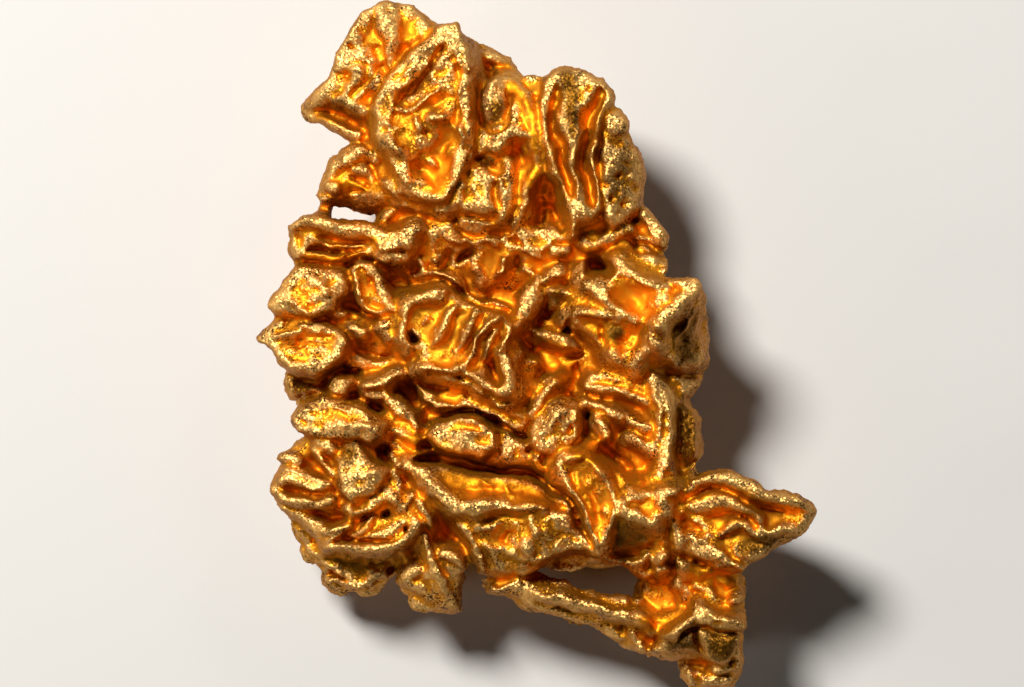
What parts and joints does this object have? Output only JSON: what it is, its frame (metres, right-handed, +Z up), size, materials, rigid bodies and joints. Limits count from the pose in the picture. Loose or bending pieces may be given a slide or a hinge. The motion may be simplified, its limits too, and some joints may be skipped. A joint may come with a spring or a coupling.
{
  "type": "gold nugget",
  "caption": "Crystalline gold nugget: ribbed lobes and skeletal hopper plates grown into one flat solid, lying on small worn flats.",
  "frame": {"origin": "under the middle of the nugget's outline, on the plane of the worn flats that it rests on", "axes": "+Z up from the resting plane through the ribbed face, +Y along the nugget's length to its crown end, +X to the side where the pointed wing stands out"},
  "size_m": [0.0244, 0.03, 0.0098],
  "materials": {
    "native_gold": "frosted crystal faces and satin hollows"
  },
  "bodies": {
    "root": {"nugget": "native_gold"}
  },
  "joints": []
}
